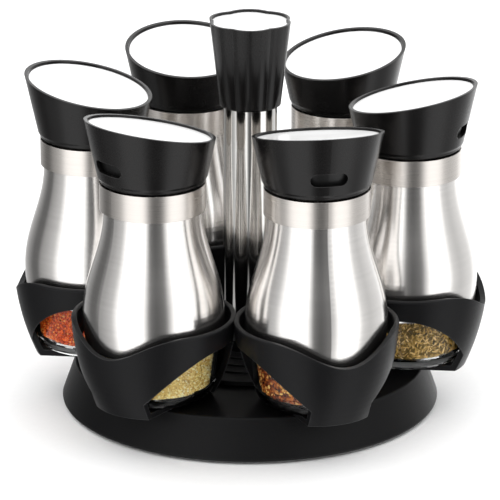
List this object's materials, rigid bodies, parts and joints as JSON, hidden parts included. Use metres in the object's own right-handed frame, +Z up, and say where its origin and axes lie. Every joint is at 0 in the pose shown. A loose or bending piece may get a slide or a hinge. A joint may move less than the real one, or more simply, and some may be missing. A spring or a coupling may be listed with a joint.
{
  "type": "spice carousel",
  "caption": "Revolving spice rack: steel-sleeved glass jars with slanted black caps stand in a ring of open cups that turns on a round base about a steel column with a lobed knob.",
  "frame": {"origin": "on the table under the column, at the centre of the base", "axes": "+Z up along the column, -Y towards the front, between jars 1 and 2, +X to the right, through jar 3"},
  "size_m": [0.2088, 0.1916, 0.174],
  "materials": {
    "rack_plastic": "fine matt texture, black",
    "cup_plastic": "fine matt texture, black",
    "cap_plastic": "satin black",
    "insert_plastic": "satin black",
    "white_plastic": "glossy white",
    "sleeve_steel": "fine brushing around the axis",
    "collar_steel": "fine brushing",
    "column_steel": "polished tube",
    "jar_glass": "clear",
    "foot_rubber": "matt",
    "bearing_steel": "ground and oiled",
    "cage_nylon": "natural nylon",
    "zinc_steel": "bright zinc"
  },
  "bodies": {
    "base": {"base_shell": "rack_plastic", "base_plate": "rack_plastic", "base_screws": "zinc_steel", "rubber_feet": "foot_rubber", "lower_race": "bearing_steel"},
    "cage": {"ball_cage": "cage_nylon", "bearing_balls": "bearing_steel"},
    "rack": {"upper_race": "bearing_steel", "rack_hub": "rack_plastic", "cup_screws": "zinc_steel", "rod_nuts": "zinc_steel", "thrust_washer": "zinc_steel", "column_tube": "column_steel", "tie_rod": "zinc_steel", "knob": "cap_plastic", "knob_disc": "white_plastic", "cup_1": "cup_plastic", "cup_2": "cup_plastic", "cup_3": "cup_plastic", "cup_4": "cup_plastic", "cup_5": "cup_plastic", "cup_6": "cup_plastic"},
    "jar_1": {"glass_1": "jar_glass", "sleeve_1": "sleeve_steel", "collar_1": "collar_steel", "insert_1": "insert_plastic"},
    "cap_1": {"cap_1": "cap_plastic", "cap_disc_1": "white_plastic"},
    "jar_2": {"glass_2": "jar_glass", "sleeve_2": "sleeve_steel", "collar_2": "collar_steel", "insert_2": "insert_plastic"},
    "cap_2": {"cap_2": "cap_plastic", "cap_disc_2": "white_plastic"},
    "jar_3": {"glass_3": "jar_glass", "sleeve_3": "sleeve_steel", "collar_3": "collar_steel", "insert_3": "insert_plastic"},
    "cap_3": {"cap_3": "cap_plastic", "cap_disc_3": "white_plastic"},
    "jar_4": {"glass_4": "jar_glass", "sleeve_4": "sleeve_steel", "collar_4": "collar_steel", "insert_4": "insert_plastic"},
    "cap_4": {"cap_4": "cap_plastic", "cap_disc_4": "white_plastic"},
    "jar_5": {"glass_5": "jar_glass", "sleeve_5": "sleeve_steel", "collar_5": "collar_steel", "insert_5": "insert_plastic"},
    "cap_5": {"cap_5": "cap_plastic", "cap_disc_5": "white_plastic"},
    "jar_6": {"glass_6": "jar_glass", "sleeve_6": "sleeve_steel", "collar_6": "collar_steel", "insert_6": "insert_plastic"},
    "cap_6": {"cap_6": "cap_plastic", "cap_disc_6": "white_plastic"}
  },
  "joints": [
    {"name": "rack_spin", "type": "hinge", "parent": "base", "child": "rack", "pos_m": [0, 0, 0.0195], "axis": [0, 0, 1], "continuous": true},
    {"name": "cage_spin", "type": "hinge", "parent": "base", "child": "cage", "pos_m": [0, 0, 0.0132], "axis": [0, 0, 1], "continuous": true},
    {"name": "jar_1_lift", "type": "slide", "parent": "rack", "child": "jar_1", "axis": [0, 0, 1], "range_m": [0, 0.16]},
    {"name": "cap_1_turn", "type": "hinge", "parent": "jar_1", "child": "cap_1", "pos_m": [-0.035, -0.06062, 0.119], "axis": [0, 0, 1], "range_deg": [0, 90]},
    {"name": "jar_2_lift", "type": "slide", "parent": "rack", "child": "jar_2", "axis": [0, 0, 1], "range_m": [0, 0.16]},
    {"name": "cap_2_turn", "type": "hinge", "parent": "jar_2", "child": "cap_2", "pos_m": [0.035, -0.06062, 0.119], "axis": [0, 0, 1], "range_deg": [0, 90]},
    {"name": "jar_3_lift", "type": "slide", "parent": "rack", "child": "jar_3", "axis": [0, 0, 1], "range_m": [0, 0.16]},
    {"name": "cap_3_turn", "type": "hinge", "parent": "jar_3", "child": "cap_3", "pos_m": [0.07, 0, 0.119], "axis": [0, 0, 1], "range_deg": [0, 90]},
    {"name": "jar_4_lift", "type": "slide", "parent": "rack", "child": "jar_4", "axis": [0, 0, 1], "range_m": [0, 0.16]},
    {"name": "cap_4_turn", "type": "hinge", "parent": "jar_4", "child": "cap_4", "pos_m": [0.035, 0.06062, 0.119], "axis": [0, 0, 1], "range_deg": [0, 90]},
    {"name": "jar_5_lift", "type": "slide", "parent": "rack", "child": "jar_5", "axis": [0, 0, 1], "range_m": [0, 0.16]},
    {"name": "cap_5_turn", "type": "hinge", "parent": "jar_5", "child": "cap_5", "pos_m": [-0.035, 0.06062, 0.119], "axis": [0, 0, 1], "range_deg": [0, 90]},
    {"name": "jar_6_lift", "type": "slide", "parent": "rack", "child": "jar_6", "axis": [0, 0, 1], "range_m": [0, 0.16]},
    {"name": "cap_6_turn", "type": "hinge", "parent": "jar_6", "child": "cap_6", "pos_m": [-0.07, 0, 0.119], "axis": [0, 0, 1], "range_deg": [0, 90]}
  ],
  "couplings": [
    {"joint": "cage_spin", "follows": "rack_spin", "ratio": 0.5}
  ]
}
